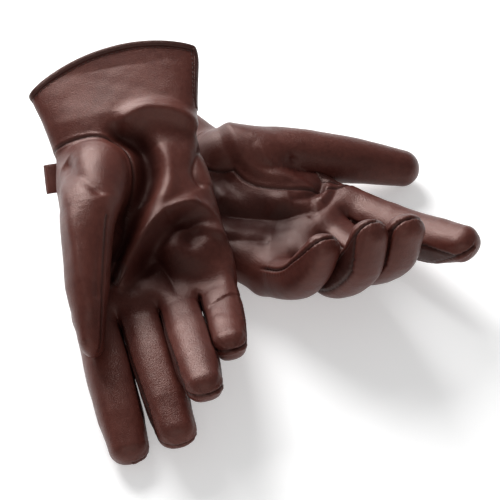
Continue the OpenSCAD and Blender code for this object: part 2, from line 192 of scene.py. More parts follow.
class Chain:
    """Centre line of a finger with its frames and half sizes."""

    def __init__(self, side, name):
        root, lengths, wide, deep = RIGHT_THUMB if (side, name) == ("right", "thumb") else SHAPES[name]
        self.power = 2.0 if name == "thumb" else 2.5
        yaw, roll, slopes = TURNS[side][name]
        base = spin("z", yaw) @ spin("x", -roll)
        joints = [lengths[0], lengths[0] + lengths[1]]
        self.length = float(sum(lengths))
        self.s = np.linspace(0, self.length, int(round(self.length / STEP)) + 1)
        fine = np.linspace(0, self.length, (len(self.s) - 1) * 6 + 1)
        middle = (fine[1:] + fine[:-1]) / 2

        def slope(s):
            ramps = [np.clip((s - at + BEND_RAMP) / (2 * BEND_RAMP), 0, 1) for at in joints]
            return np.radians(slopes[0] + slopes[1] * ramps[0] + slopes[2] * ramps[1])

        a = slope(middle)
        steps = np.diff(fine)[:, None] * np.stack([np.cos(a), 0 * a, np.sin(a)], -1)
        path = np.vstack([np.zeros(3), np.cumsum(steps, 0)])[::6]
        self.p = np.array(root, float) + path @ base.T
        a = slope(self.s)
        self.along = np.stack([np.cos(a), 0 * a, np.sin(a)], -1) @ base.T
        self.normal = np.stack([-np.sin(a), 0 * a, np.cos(a)], -1) @ base.T
        self.lateral = np.tile(base[:, 1], (len(a), 1))
        knots = [0, joints[0], joints[1], self.length]
        self.w = np.interp(self.s, knots, wide)
        self.d = np.interp(self.s, knots, deep)
        self.low, self.high = self.p.min(0) - 30, self.p.max(0) + 30

    def at(self, s):
        return np.array([np.interp(s, self.s, self.p[:, k]) for k in range(3)])

    def measure(self, p):
        """Distance, length along, sideways and palmward offset, half width and half depth at each point."""
        out = np.zeros((6, len(p)))
        out[0], out[4:] = 40.0, 10.0
        near = np.nonzero(((p > self.low) & (p < self.high)).all(1))[0]
        if len(near):
            out[:, near] = self.measure_near(p[near])
        return out

    def measure_near(self, p):
        best = np.full(len(p), 1e9)
        out = np.zeros((6, len(p)))
        for i in range(len(self.s) - 1):
            a, b = self.p[i], self.p[i + 1]
            span = b - a
            size = np.linalg.norm(span)
            u = span / size
            along = (p - a) @ u
            t = along / size
            t = np.maximum(t, 0) if i == len(self.s) - 2 else np.clip(t, 0, 1)
            if i == 0:
                t = np.where(along < 0, along / size, t)
            tc = np.clip(t, 0, 1)
            c = a + tc[:, None] * span
            q = p - c
            lat = self.lateral[i]
            nor = np.cross(u, lat)
            w = self.w[i] + tc * (self.w[i + 1] - self.w[i])
            d = self.d[i] + tc * (self.d[i + 1] - self.d[i])
            ql, qn, qt = q @ lat, q @ nor, q @ u
            e = ((np.abs(ql) / w) ** self.power + (np.abs(qn) / d) ** self.power) ** (1 / self.power)
            e = np.hypot(e, qt / d)
            r = np.sqrt((q ** 2).sum(1))
            dist = r * (1 - 1 / np.maximum(e, 1e-4))
            dist = np.where(e < 0.2, -np.minimum(w, d) * (1 - e), dist)
            take = dist < best
            best = np.where(take, dist, best)
            s = self.s[i] + t * size
            for k, v in enumerate((dist, s, ql, qn, w, d)):
                out[k] = np.where(take, v, out[k])
        return out


FINGERS = NAMES[1:]
GAP = 0.3


def finger_union(measures, only=None):
    """Fingers that press flat against each other: distance to the nearest and length along it."""
    fields = []
    for i, name in enumerate(FINGERS):
        m = measures[name]
        other = np.minimum.reduce([measures[FINGERS[k]][0] for k in (i - 1, i + 1) if 0 <= k < 4])
        cut = (m[0] - other) / 2 + GAP - 6 * (1 - smooth_step(m[1], 1, 8))
        fields.append(soft_max(m[0], cut, 1.6))
        if name == only:
            return fields[-1], m[1]
    d, s = fields[0], measures[FINGERS[0]][1]
    for name, field in zip(FINGERS[1:], fields[1:]):
        nearer = field < d
        s = np.where(nearer, measures[name][1], s)
        d = smooth_min(d, field, 0.05 + 1.8 * (1 - smooth_step(s, 2, 7)))
    return d, s


def glove_field(chains, p, keep):
    """Surface of the hand with its fingers. keep is the part wanted: "hand" or the name of a finger."""
    hand = hand_field(p)
    if keep != "thumb":
        finger, s = finger_union({name: chains[name].measure(p) for name in FINGERS}, keep)
        k = 0.4 + 5.6 * (1 - smooth_step(s, 6, 22))
        far = 30 * smooth_step(s, 16, 28)
        if keep != "hand":
            return smooth_min(hand + far, finger, k)
        hand = smooth_min(hand, finger + far, k)
    m = chains["thumb"].measure(p)
    k = 0.8 + 11.2 * (1 - smooth_step(m[1], 14, 46))
    if keep == "thumb":
        return smooth_min(hand + 30 * smooth_step(m[1], 44, 54), m[0], k)
    return smooth_min(hand, m[0] + 30 * smooth_step(m[1], 46, 56), k)


def surface(field, low, high):
    """Mesh of the zero level of a field inside a box."""
    low = np.floor(np.array(low) / VOXEL) * VOXEL
    size = np.ceil((np.array(high) - low) / VOXEL).astype(int) + 1
    axes = [low[k] + VOXEL * np.arange(size[k]) for k in range(3)]
    values = np.empty(size, np.float32)
    for i in range(0, size[0], 12):
        block = np.stack(np.meshgrid(axes[0][i:i + 12], axes[1], axes[2], indexing="ij"), -1)
        values[i:i + 12] = field(block.reshape(-1, 3)).reshape(block.shape[:3])
    grid = openvdb.FloatGrid(background=3.0)
    grid.copyFromArray(np.clip(values, -3, 3))
    points, quads = grid.convertToQuads(0.0)
    quads = quads.astype(int)
    return points.astype(float) * VOXEL + low, np.vstack([quads[:, [0, 1, 2]], quads[:, [0, 2, 3]]])


def relax(v, f, rounds=6):
    """Taubin smoothing: takes out the grid's steps without shrinking."""
    e = np.vstack([f[:, [0, 1]], f[:, [1, 2]], f[:, [2, 0]]])
    a, b = np.hstack([e[:, 0], e[:, 1]]), np.hstack([e[:, 1], e[:, 0]])
    count = np.bincount(a, minlength=len(v))[:, None]
    for k in range(rounds):
        for factor in (0.5, -0.52):
            mean = np.stack([np.bincount(a, v[b, c], len(v)) for c in range(3)], -1) / np.maximum(count, 1)
            v = v + factor * (mean - v)
    return v


def split(v, f, s):
    """Adds vertices where the scalar s is zero, so that s has one sign on each face."""
    s = np.where(np.abs(s) < 1e-6, 1e-6, s)
    sign = s[f] > 0
    mixed = sign.any(1) & ~sign.all(1)
    keep, cut = f[~mixed], f[mixed]
    if len(cut) == 0:
        return v, f
    lone = np.where(sign[mixed].sum(1) == 1, np.argmax(sign[mixed], 1), np.argmin(sign[mixed], 1))
    rows = np.arange(len(cut))
    a, b, c = cut[rows, lone], cut[rows, (lone + 1) % 3], cut[rows, (lone + 2) % 3]
    edges = np.sort(np.vstack([np.stack([a, b], 1), np.stack([a, c], 1)]), 1)
    unique, back = np.unique(edges, axis=0, return_inverse=True)
    back = back.ravel()
    t = s[unique[:, 0]] / (s[unique[:, 0]] - s[unique[:, 1]])
    t = np.clip(t, 0.02, 0.98)
    added = v[unique[:, 0]] * (1 - t[:, None]) + v[unique[:, 1]] * t[:, None]
    ab, ac = back[:len(cut)] + len(v), back[len(cut):] + len(v)
    f = np.vstack([keep, np.stack([a, ab, ac], 1), np.stack([ab, b, c], 1), np.stack([ab, c, ac], 1)])
    return np.vstack([v, added]), f


def vertex_normals(v, f):
    c = v[f]
    n = np.cross(c[:, 1] - c[:, 0], c[:, 2] - c[:, 0])
    out = np.stack([sum(np.bincount(f[:, j], n[:, k], len(v)) for j in range(3)) for k in range(3)], -1)
    return unit(out)


# ---------------------------------------------------------------- sculpting, glove frame
def waves(p, length, count, seed):
    """Smooth random field of about unit size with the given wave length in mm."""
    r = np.random.default_rng(seed)
    total = np.zeros(len(p))
    for _ in range(count):
        k = unit(r.normal(size=3)) * 2 * math.pi / (length * r.uniform(0.7, 1.5))
        total += np.sin(p @ k + r.uniform(0, 6.28))
    return total / math.sqrt(count)


def polyline_distance(p, line):
    best = np.full(len(p), 1e9)
    where = np.zeros(len(p))
    line = np.array(line, float)
    for i in range(len(line) - 1):
        a, b = line[i], line[i + 1]
        t = np.clip(((p - a) @ (b - a)) / ((b - a) @ (b - a)), 0, 1)
        d = np.linalg.norm(p - a - t[:, None] * (b - a), axis=1)
        where = np.where(d < best, (i + t) / (len(line) - 1), where)
        best = np.minimum(best, d)
    return best, where


def smooth_line(line, rounds=3):
    line = np.array(line, float)
    for _ in range(rounds):
        q = line[:-1] * 0.75 + line[1:] * 0.25
        r = line[:-1] * 0.25 + line[1:] * 0.75
        line = np.vstack([line[:1], np.stack([q, r], 1).reshape(-1, line.shape[1]), line[-1:]])
    return line


# Folds: (line of points in the glove frame, height, half width). Negative heights are sharp valleys.
FOLDS = {
    "right": [
        ([(43, 3, 13), (35, -3, 13), (31, -15, 12), (34, -28, 11), (39, -36, 8), (46, -43, 2)], 3.4, 5.0),
        ([(46, 2, 13), (52, -7, 13), (66, -9, 14), (78, -7, 15), (91, 0, 17), (104, 8, 17), (119, 18, 17),
          (132, 24, 15)], -2.6, 4.0),
        ([(54, -18, 13), (73, -21, 14), (92, -15, 17), (105, -2, 17), (126, 12, 17), (140, 21, 15)],
         3.4, 6.5),
        ([(93, -34, 13), (97, -19, 17), (106, -4, 17), (120, 8, 17), (136, 19, 16)], 2.6, 3.6),
        ([(119, -43, 9), (106, -42, 8), (97, -36, 12), (95, -26, 15), (101, -15, 17)], 2.4, 3.6),
        ([(136, -45, 5), (121, -45, 6), (111, -38, 12), (108, -27, 15)], 2.2, 3.4),
        ([(58, -44, 0), (64, -38, 7), (76, -34, 11), (86, -38, 10)], -2.6, 3.4),
        ([(60, -46, 0), (72, -45, 2), (84, -44, 6)], 1.6, 4.0),
        ([(122, -4, 17), (134, -10, 16), (150, -12, 15)], -3.0, 4.0),
        ([(58, 34, 14), (70, 31, 24), (80, 27, 33), (93, 20, 38)], -5.0, 3.4),
        ([(58, 44, 14), (76, 40, 26), (94, 36, 36), (110, 37, 43), (146, 37, 44), (162, 36, 42)], 1.8, 4.5),
        ([(100, 22, 36), (124, 27, 42), (152, 31, 42)], -1.6, 3.0),
    ],
    "left": [
        ([(84, -14, 17), (100, -7, 18), (116, 2, 18), (134, 15, 15)], 1.5, 5.5),
        ([(92, -22, 16), (108, -13, 18), (126, -3, 17), (141, 12, 15)], -3.6, 5.0),
        ([(102, -35, 13), (116, -24, 16), (132, -13, 16), (146, -3, 15)], 1.2, 5.5),
        ([(98, -43, 8), (110, -36, 13), (122, -29, 15), (132, -23, 16)], -2.0, 5.0),
        ([(124, 40, 14), (132, 32, 14), (132, 18, 17), (124, 8, 18)], -3.0, 3.0),
        ([(136, 42, 14), (140, 32, 14), (144, 18, 15), (140, 4, 16)], -2.6, 2.6),
        ([(130, 42, 14), (136, 32, 15), (138, 18, 16)], 1.8, 2.8),
        ([(104, 34, 20), (116, 30, 20), (126, 28, 18), (134, 31, 14)], -3.4, 3.2),
        ([(86, 26, 22), (100, 22, 21), (116, 20, 20), (130, 27, 16)], 1.6, 4.0),
    ],
}
# Broad hollows of the unfilled palm: (line, depth, half width)
HOLLOWS = {
    "right": [
        ([(44, 2, 13), (50, -6, 13), (58, -11, 13), (68, -12, 14), (79, -8, 15), (91, 0, 17), (104, 9, 17),
          (118, 19, 16), (128, 24, 15)], 7.5, 6.5),
        ([(46, -12, 13), (49, -24, 12), (50, -36, 10)], 2.2, 8.5),
        ([(104, -24, 16), (110, -32, 14), (116, -26, 16)], 4.6, 6.0),
        ([(106, -18, 17), (116, -7, 17), (127, 3, 17), (138, 12, 16)], 4.0, 5.5),
        ([(126, 0, 17), (136, -8, 16), (142, -20, 15), (146, -30, 14)], 6.0, 10.0),
        ([(148, -13, 17), (154, -16, 17)], 1.5, 6.0),
    ],
    "left": [
        ([(84, -20, 17), (104, -17, 18), (126, -10, 17)], 5.5, 11.0),
        ([(82, 0, 17), (98, -6, 18), (112, -3, 18)], 3.0, 6.0),
        ([(116, -24, 16), (130, -16, 16), (140, -6, 15)], 2.2, 10.0),
    ],
}
FOLD_FADE = (128, 157)      # x where the folds of the palm die out towards the fingers
PAINTED_SHADE_FULL_DEPTH = 7.5           # depth in mm at which a hollow gets its darkest painted shade
# Painted shade on the unlit, unfilled palm: (x, y), radius, strength
PALM_SHADES = {
    "right": [((122, -10), 25, 0.7), ((112, -30), 17, 0.5), ((142, 8), 19, 0.6)],
    "left": [((90, -20), 42, 0.7), ((126, -12), 26, 0.6)],
}
# Seam round the heel of the thumb, seen from the palm: x and y in the glove frame
HEEL_SEAM = {
    "right": [(48, 56), (43, 40), (42, 22), (46, 8), (56, 0), (70, -2), (84, 0), (98, 6), (112, 15),
              (124, 26), (132, 42), (136, 60)],
    "left": [(48, 56), (48, 40), (56, 26), (68, 14), (82, 7), (98, 4), (112, 9), (124, 18),
             (134, 30), (142, 44), (146, 60)],
}
HEEL_HEIGHT = {"right": 2.6, "left": 4.2}


def near_line(p, line, wide):
    low, high = line.min(0) - 3.5 * wide, line.max(0) + 3.5 * wide
    near = np.nonzero(((p > low) & (p < high)).all(1))[0]
    if len(near) == 0:
        return near, None, None
    d, t = polyline_distance(p[near], line)
    return near, d, smooth_step(t, -0.05, 0.22) * smooth_step(1 - t, -0.05, 0.22)


def folds(side, p):
    total = np.zeros(len(p))
    for line, height, wide in FOLDS[side]:
        near, d, fade = near_line(p, smooth_line(line, 2), wide)
        if len(near):
            ridge = np.exp(-(d / wide) ** 2)
            valley = np.exp(-(np.hypot(d, 0.6) - 0.6) / wide * 1.15)
            shape = ridge if height > 0 else valley
            total[near] += height * fade * shape
    for line, depth, wide in HOLLOWS[side]:
        near, d, fade = near_line(p, smooth_line(line, 2), wide)
        if len(near):
            total[near] -= depth * np.exp(-(d / wide) ** 2)
    return total


def heel_side(side, p):
    """Distance inside the seam round the heel, on the palm; negative outside and on the back."""
    line = smooth_line(HEEL_SEAM[side], 2)
    d, _ = polyline_distance(p[:, :2], line)
    inside = np.zeros(len(p), bool)
    ring = np.vstack([line, [(line[-1, 0], 200), (line[0, 0], 200)]])
    for a, b in zip(ring, np.roll(ring, -1, 0)):
        crosses = (a[1] > p[:, 1]) != (b[1] > p[:, 1])
        x = a[0] + (p[:, 1] - a[1]) * (b[0] - a[0]) / (b[1] - a[1] if b[1] != a[1] else 1e-9)
        inside ^= crosses & (p[:, 0] < x)
    return np.minimum(np.where(inside, d, -d), p[:, 2] * 0.8)


def groove(d, depth=0.5, wide=0.7, welt=0.22):
    d = np.abs(d)
    return -depth * np.exp(-(d / wide) ** 2) + welt * np.exp(-((d - 1.7) / 0.9) ** 2)


FORK = 34.0
OUTER_SEAM = 28.0


def fork_taper(chain, s):
    return np.interp(s, [0, chain.length - 18, chain.length + 2, chain.length + 6], [1, 1, 0.12, 0.0])


def finger_seams(name, chain, m):
    """Signed distances to the finger's seams; panels lie between them."""
    _, s, ql, qn, w, d = m
    taper = fork_taper(chain, s)
    high = d * np.sin(np.radians(FORK * taper))
    thumbside, farside = ql > 0, ql <= 0
    front = qn - high
    back = -qn - high
    if name == "index":
        big = 40.0 + 0 * qn
        front = np.where(farside, front, big)
        back = np.where(farside, back, big)
    if name == "little":
        seam = qn - d * np.sin(np.radians(OUTER_SEAM * taper))
        front = np.where(thumbside, front, seam)
        back = np.where(thumbside, back, -seam)
    return front, back


# ---------------------------------------------------------------- making objects
def make_object(name, side, v, f, normals, attributes, material, body):
    used, index = np.unique(f, return_inverse=True)
    f = index.reshape(-1, 3)
    if side == "right":
        f = f[:, ::-1]
    mesh = bpy.data.meshes.new(name)
    mesh.vertices.add(len(used))
    mesh.vertices.foreach_set("co", placed(side, v[used]).ravel())
    mesh.loops.add(len(f) * 3)
    mesh.loops.foreach_set("vertex_index", f.ravel().astype(np.int32))
    mesh.polygons.add(len(f))
    mesh.polygons.foreach_set("loop_start", np.arange(0, len(f) * 3, 3, dtype=np.int32))
    mesh.polygons.foreach_set("use_smooth", np.ones(len(f), bool))
    mesh.update(calc_edges=True)
    mesh.validate()
    rest = mesh.attributes.new("rest", "FLOAT_VECTOR", "POINT")
    rest.data.foreach_set("vector", v[used].astype(np.float32).ravel())
    for key, values in attributes.items():
        a = mesh.attributes.new(key, "FLOAT", "POINT")
        a.data.foreach_set("value", values[used].astype(np.float32))
    if normals is not None and len(mesh.vertices) == len(used):
        mesh.normals_split_custom_set_from_vertices(placed_direction(side, normals[used]).tolist())
    mesh.materials.append(material)
    o = bpy.data.objects.new(name, mesh)
    bpy.context.scene.collection.objects.link(o)
    if body:
        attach(o, body)
    return o


# ---------------------------------------------------------------- materials
def linear(colour):
    c = np.array(colour, float) / 255
    return (*np.where(c <= 0.04045, c / 12.92, ((c + 0.055) / 1.055) ** 2.4), 1.0)


class Nodes:
    """Small helper that adds and joins shader nodes."""

    def __init__(self, name):
        self.material = bpy.data.materials.new(name)
        self.material.use_nodes = True
        self.tree = self.material.node_tree
        self.shader = self.tree.nodes["Principled BSDF"]

    def add(self, kind, links=(), **values):
        n = self.tree.nodes.new(kind)
        for key, value in values.items():
            if key.startswith("in_"):
                n.inputs[int(key[3:])].default_value = value
            else:
                setattr(n, key, value)
        for target, source in dict(links).items():
            self.tree.links.new(source, n.inputs[target])
        return n

    def link(self, source, socket):
        self.tree.links.new(source, self.shader.inputs[socket])

    def mix(self, factor, a, b, mode="MIX"):
        n = self.tree.nodes.new("ShaderNodeMix")
        n.data_type, n.blend_type = "RGBA", mode
        for value, socket in ((factor, n.inputs[0]), (a, n.inputs[6]), (b, n.inputs[7])):
            if isinstance(value, (tuple, float, int)):
                socket.default_value = value
            else:
                self.tree.links.new(value, socket)
        return n.outputs[2]

    def math(self, operation, a, b=0.0, c=0.0):
        n = self.tree.nodes.new("ShaderNodeMath")
        n.operation = operation
        for i, value in enumerate((a, b, c)):
            if isinstance(value, (float, int)):
                n.inputs[i].default_value = value
            else:
                self.tree.links.new(value, n.inputs[i])
        return n.outputs[0]

    def range(self, value, a, b, c, d):
        n = self.add("ShaderNodeMapRange", {0: value})
        for i, x in enumerate((a, b, c, d)):
            n.inputs[i + 1].default_value = x
        return n.outputs[0]


def leather_material(name, dark, middle, light, roughness=0.4):
    m = Nodes(name)
    rest = m.add("ShaderNodeAttribute", attribute_name="rest").outputs["Vector"]
    seam = m.add("ShaderNodeAttribute", attribute_name="seam").outputs["Fac"]
    cloudy = m.add("ShaderNodeTexNoise", {"Vector": rest}, in_2=0.035, in_3=3.0).outputs[0]
    mottled = m.add("ShaderNodeTexNoise", {"Vector": rest}, in_2=0.35, in_3=4.0).outputs[0]
    cells = m.add("ShaderNodeTexVoronoi", {"Vector": rest}, in_2=1.25)
    pores = m.add("ShaderNodeTexNoise", {"Vector": rest}, in_2=2.6, in_3=3.0).outputs[0]
    fine = m.add("ShaderNodeTexNoise", {"Vector": rest}, in_2=6.0, in_3=2.0).outputs[0]
    tone = m.math("ADD", m.math("MULTIPLY", cloudy, 0.6), m.math("MULTIPLY", mottled, 0.4))
    colour = m.mix(m.range(tone, 0.38, 0.62, 0.0, 1.0), linear(dark), linear(middle))
    colour = m.mix(m.range(pores, 0.5, 0.75, 0.0, 0.35), colour, linear(light))
    # painted shade: the deep attribute darkens the base colour towards a near-black brown in the folds,
    # hollows and palm patches
    deep = m.add("ShaderNodeAttribute", attribute_name="deep").outputs["Fac"]
    painted_shade_colour = linear((dark[0] * 0.42, dark[1] * 0.3, dark[2] * 0.3))
    colour = m.mix(m.math("MULTIPLY", deep, 0.8), colour, painted_shade_colour)
    colour = m.mix(m.math("MULTIPLY", seam, 0.75), colour, linear(tuple(c * 0.45 for c in dark)))
    m.link(colour, "Base Color")
    rough = m.range(m.math("ADD", pores, m.math("MULTIPLY", mottled, 0.6)), 0.5, 1.1, roughness - 0.07,
                    roughness + 0.12)
    m.link(rough, "Roughness")
    height = m.math("ADD", m.math("MULTIPLY", cells.outputs["Distance"], 0.5), m.math("MULTIPLY", pores, 0.6))
    height = m.math("ADD", height, m.math("MULTIPLY", fine, 0.25))
    bump = m.add("ShaderNodeBump", {"Height": height})
    bump.inputs["Strength"].default_value = 0.45
    bump.inputs["Distance"].default_value = 0.0004
    m.link(bump.outputs[0], "Normal")
    # the painted shade also dims the specular level in the same places
    m.link(m.range(deep, 0.0, 1.0, 0.45, 0.14), "Specular IOR Level")
    m.shader.inputs["Specular Tint"].default_value = (1.0, 0.68, 0.60, 1.0)
    return m.material


def fabric_material(name, colour_a, colour_b):
    m = Nodes(name)
    rest = m.add("ShaderNodeAttribute", attribute_name="rest").outputs["Vector"]
    weave_a = m.add("ShaderNodeTexWave", {"Vector": rest}, bands_direction="X", in_1=0.9).outputs[1]
    weave_b = m.add("ShaderNodeTexWave", {"Vector": rest}, bands_direction="Y", in_1=0.9).outputs[1]
    weave = m.math("MULTIPLY", weave_a, weave_b)
    fuzz = m.add("ShaderNodeTexNoise", {"Vector": rest}, in_2=1.5, in_3=4.0).outputs[0]
    colour = m.mix(m.math("MULTIPLY", m.math("ADD", weave, fuzz), 0.6), linear(colour_a), linear(colour_b))
    m.link(colour, "Base Color")
    bump = m.add("ShaderNodeBump", {"Height": m.math("ADD", weave, fuzz)})
    bump.inputs["Strength"].default_value = 0.5
    bump.inputs["Distance"].default_value = 0.0003
    m.link(bump.outputs[0], "Normal")
    m.shader.inputs["Roughness"].default_value = 0.92
    m.shader.inputs["Sheen Weight"].default_value = 0.25
    return m.material


LEATHER = leather_material("leather", (68, 30, 25), (85, 42, 35), (106, 60, 51), 0.36)
EDGE = leather_material("edge_leather", (44, 18, 15), (58, 27, 23), (74, 38, 32), 0.36)
LINING = fabric_material("lining", (22, 20, 21), (62, 58, 58))
THREAD = fabric_material("thread", (40, 22, 20), (92, 58, 50))

# ---------------------------------------------------------------- building the gloves
ROOT_CUT = {"thumb": 40.0, "index": 11.0, "middle": 11.0, "ring": 11.0, "little": 12.0}
BLEND_LENGTH = {"thumb": 18.0, "index": 16.0, "middle": 16.0, "ring": 16.0, "little": 14.0}


def sculpt(side, chains, p, wanted):
    """Height added along the normal, how dark the seam is, and how much painted shade falls in the hollows
    and on the palm.
    """
    height = folds(side, p)
    cuff_fade = smooth_step(beyond_cuff(p), 4, 18)
    start, end = chains["thumb"].at(24), chains["thumb"].at(52)
    past_heel = smooth_step((p - start) @ (end - start) / ((end - start) @ (end - start)), 0, 1)
    height = height * cuff_fade * (1 - smooth_step(p[:, 0], *FOLD_FADE) * (hand_field(p) < 12))
    swell = smooth_step(heel_side(side, p), 0.3, 9) * (1 - smooth_step(p[:, 1], 24, 44)) * (1 - past_heel)
    height += HEEL_HEIGHT[side] * swell
    height += (0.2 * waves(p, 30, 7, 11) + 0.06 * waves(p, 9, 9, 12)) * cuff_fade
    seam = np.zeros(len(p))
    hand = hand_field(p)
    owner = np.zeros(len(p), int)
    nearest = hand.copy()
    measures = {}
    for i, name in enumerate(NAMES):
        if name not in wanted:
            continue
        m = chains[name].measure(p)
        measures[name] = m
        own = m[0] < nearest + (2.0 if name == "thumb" else 0.0)
        owner = np.where(own, i + 1, owner)
        nearest = np.where(own, m[0], nearest)
    for i, name in enumerate(NAMES):
        if name not in wanted or name == "thumb":
            continue
        m = measures[name]
        mine = np.nonzero((owner == i + 1) & (m[1] > 1))[0]
        if len(mine) == 0:
            continue
        part = m[:, mine]
        front, back = finger_seams(name, chains[name], part)
        reach = smooth_step(part[1], 3, 12)
        pucker = 1 + 0.35 * np.sin(part[1] * 2 * math.pi / 3.0)
        for d in (front, back):
            height[mine] += groove(d, 0.45) * reach * pucker
            seam[mine] = np.maximum(seam[mine], np.exp(-(d / 0.75) ** 2) * reach)
        tip = smooth_step(part[1], chains[name].length - 8, chains[name].length + 3)
        angle = np.arctan2(part[3], part[2])
        by_seam = np.exp(-(np.minimum(abs(front), abs(back)) / 3.5) ** 2)
        height[mine] += 0.3 * tip * np.sin(angle * 13 + 1.0) * by_seam
    # deep is painted shade: darker the deeper the folds and hollows sink, plus the soft painted shade patches
    # on the palm
    deep = np.clip(-height / PAINTED_SHADE_FULL_DEPTH, 0, 1)
    facing = smooth_step(p[:, 2], 2, 9) * (1 - smooth_step(p[:, 2], 24, 32))
    for centre, radius, strength in PALM_SHADES[side]:
        away = np.linalg.norm(p[:, :2] - np.array(centre, float), axis=1) / radius
        deep = 1 - (1 - deep) * (1 - strength * facing * np.exp(-away ** 2))
    return height, seam, deep


def build_part(chains, keep, low, high):
    v, f = surface(lambda p: glove_field(chains, p, keep), low, high)
    v = relax(v, f)
    return v, f


def refine(v, f, measure, names):
    """Cuts the mesh along each scalar in turn."""
    for name in names:
        v, f = split(v, f, measure(v, name))
    return v, f


def finger_piece(side, chains, name):
    chain = chains[name]
    cut = ROOT_CUT[name]
    margin = 18 if name != "thumb" else 24
    keep = chain.p[chain.s >= cut - 9]
    low, high = keep.min(0) - margin, keep.max(0) + margin
    wanted = [name] if name == "thumb" else FINGERS
    v, f = build_part(chains, name, low, high)

    def scalar(p, key):
        m = chain.measure(p)
        if key == "cut":
            return m[1] - cut
        front, back = finger_seams(name, chain, m)
        return front if key == "front" else back

    keys = ["cut"] if name == "thumb" else ["cut", "front", "back"]
    v, f = refine(v, f, scalar, keys)
    height, seam, deep = sculpt(side, chains, v, wanted)
    centre = v[f].mean(1)
    m = chain.measure(centre)
    normals = vertex_normals(v, f)
    if name == "thumb":
        height = height + thumb_height(side, chain, v)
        seam = np.maximum(seam, thumb_seam(side, chain, v))
    v = v + normals * height[:, None]
    normals = vertex_normals(v, f)
    beyond = (m[1] > cut) & (m[0] < hand_field(centre) + (1.5 if name == "thumb" else 0.5)) & (m[0] < 6)
    for other in wanted:
        if other != name:
            beyond &= m[0] < chains[other].measure(centre)[0]
    parts = []
    if name == "thumb":
        parts.append(("thumb_leather", beyond, ["thumb_leather", "thumb_lining"]))
    else:
        front, back = finger_seams(name, chain, m)
        farside = m[2] <= 0
        if name == "index":
            strip = farside & (front <= 0) & (back <= 0)
            parts.append(("index_leather", beyond & ~strip, ["index_leather", "index_lining"]))
            parts.append(("index_fourchette", beyond & strip, ["index_fourchette"]))
        else:
            is_front, is_back = front > 0, back > 0
            strip = ~is_front & ~is_back
            parts.append((name + "_front", beyond & is_front, [name + "_front", name + "_lining"]))
            parts.append((name + "_back", beyond & is_back & ~is_front, [name + "_back"]))
            if name == "little":
                parts.append(("little_fourchette", beyond & strip, ["little_fourchette"]))
            else:
                parts.append((name + "_thumb_side_fourchette", beyond & strip & ~farside,
                              [name + "_thumb_side_fourchette"]))
                parts.append((name + "_far_side_fourchette", beyond & strip & farside,
                              [name + "_far_side_fourchette"]))
    for label, faces, nodes in parts:
        if faces.sum() == 0:
            continue
        material = EDGE if "fourchette" in label else LEATHER
        # the deep attribute carries the painted shade to the leather material
        o = make_object(f"{side}_{label}_skin", side, v, f[faces], normals, {"seam": seam, "deep": deep},
                        material, None)
        start, end = chain.at(cut), chain.at(cut + BLEND_LENGTH[name])
        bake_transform(o)
        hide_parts(*[f"{side}_{n}" for n in nodes])


def thumb_height(side, chain, p):
    d = thumb_line(side, chain, p)
    return groove(d, 0.4, 0.7, 0.3)


def thumb_line(side, chain, p):
    """Distance to the seam that runs along the palm side of the thumb and over its tip."""
    m = chain.measure(p)
    angle = np.degrees(np.arctan2(m[3], m[2]))
    target = THUMB_SEAM[side]
    off = (angle - target + 180) % 360 - 180
    across = m[4] * np.sin(np.radians(np.clip(off, -90, 90)))
    radial = np.hypot(m[2], m[3])
    return np.where(np.abs(off) < 90, across, radial + 3)


THUMB_SEAM = {"left": -25.0, "right": 155.0}


def thumb_seam(side, chain, p):
    return np.exp(-(thumb_line(side, chain, p) / 0.8) ** 2)


def slit_scalar(p):
    """Positive inside the slit at the outer side of the cuff."""
    half = np.interp(p[:, 0], SLIT_X, SLIT_ANGLE)
    w = np.interp(p[:, 0], HAND_X, HAND_WIDTH)
    t = np.interp(p[:, 0], THICK_X, THICKNESS)
    z_open = t * np.sin(np.radians(half)) ** (2 / SQUARENESS)
    s = z_open - np.abs(p[:, 2])
    return np.where((p[:, 1] < -0.5 * w) & (p[:, 0] < VENT), s, -3.0)


def heel_scalar(side, chain, p):
    """Positive on the heel of the thumb."""
    m = chain.measure(p)
    root = np.where(m[0] < 4, hand_field(p) + 1.0 - m[0], -3.0)
    return np.maximum(root, heel_side(side, p))


